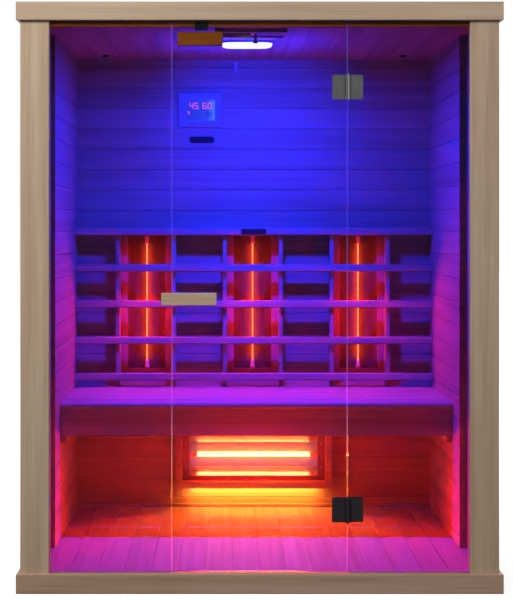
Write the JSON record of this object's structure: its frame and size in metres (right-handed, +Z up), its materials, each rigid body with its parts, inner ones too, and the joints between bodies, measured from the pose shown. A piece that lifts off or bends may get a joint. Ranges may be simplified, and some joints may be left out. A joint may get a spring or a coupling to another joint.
{
  "type": "infrared sauna cabin",
  "caption": "Panel-built timber cabin with a glass front and hinged glass door, a slatted bench and backrest, quartz tube infrared heaters, a ceiling lamp and a vent.",
  "frame": {"origin": "on the ground under the middle of the floor panel", "axes": "+Z up, +X to the right seen from the door, +Y from the door towards the back wall"},
  "size_m": [1.564, 1.124, 1.9],
  "materials": {
    "outside_wood": "sanded pale softwood with an oiled, satin face",
    "inside_wood": "untreated planed softwood boards",
    "clear_glass": "clear toughened glass with ground edges",
    "bright_steel": "satin",
    "dark_steel": "dark satin plating",
    "mirror_steel": "bright rolled reflector sheet",
    "hot_quartz": "glowing quartz with ceramic ends",
    "dark_plastic": "fine grained",
    "screen": "glossy display window",
    "opal": "opal diffuser lit blue",
    "grey_plastic": "moulded"
  },
  "bodies": {
    "cabin": {"plinth_frame": "outside_wood", "floor_deck": "inside_wood", "cornice_frame": "outside_wood", "ceiling_panel": "inside_wood", "roof_cover": "outside_wood", "power_unit": "grey_plastic", "left_wall": "outside_wood", "right_wall": "outside_wood", "back_wall": "outside_wood", "left_lining": "inside_wood", "right_lining": "inside_wood", "back_lining": "inside_wood", "left_post": "outside_wood", "right_post": "outside_wood", "left_glass": "clear_glass", "right_glass": "clear_glass", "header_rail": "inside_wood", "catch_magnet": "dark_plastic", "upper_hinge_frame_leaf": "bright_steel", "upper_hinge_pin": "bright_steel", "lower_hinge_frame_leaf": "dark_steel", "lower_hinge_pin": "dark_steel", "bench_slat_1": "inside_wood", "bench_slat_2": "inside_wood", "bench_slat_3": "inside_wood", "bench_slat_4": "inside_wood", "bench_fascia": "inside_wood", "bench_ledger_left": "inside_wood", "bench_ledger_right": "inside_wood", "bench_frame": "inside_wood", "backrest_slat_1": "inside_wood", "backrest_slat_2": "inside_wood", "backrest_slat_3": "inside_wood", "backrest_slat_4": "inside_wood", "backrest_slat_5": "inside_wood", "backrest_frame_1": "inside_wood", "backrest_frame_2": "inside_wood", "backrest_frame_3": "inside_wood", "heater_1_reflector": "mirror_steel", "heater_1_tube": "hot_quartz", "heater_2_reflector": "mirror_steel", "heater_2_tube": "hot_quartz", "heater_3_reflector": "mirror_steel", "heater_3_tube": "hot_quartz", "calf_heater_reflector": "mirror_steel", "calf_heater_tube": "hot_quartz", "calf_heater_surround": "inside_wood", "control_panel": "dark_plastic", "control_screen": "screen", "temperature_probe": "bright_steel", "lamp_base": "grey_plastic", "lamp_diffuser": "opal", "vent_frame": "inside_wood"},
    "door": {"door_glass": "clear_glass", "handle_outer": "outside_wood", "handle_inner": "inside_wood", "catch_block": "inside_wood", "upper_hinge_door_leaf": "bright_steel", "lower_hinge_door_leaf": "dark_steel"},
    "shutter": {"vent_shutter": "inside_wood"}
  },
  "joints": [
    {"name": "door_hinge", "type": "hinge", "parent": "cabin", "child": "door", "pos_m": [0.284, -0.539, 0.946], "axis": [0, 0, 1], "range_deg": [0, 150]},
    {"name": "vent_slide", "type": "slide", "parent": "cabin", "child": "shutter", "axis": [-1, 0, 0], "range_m": [0, 0.114]}
  ]
}
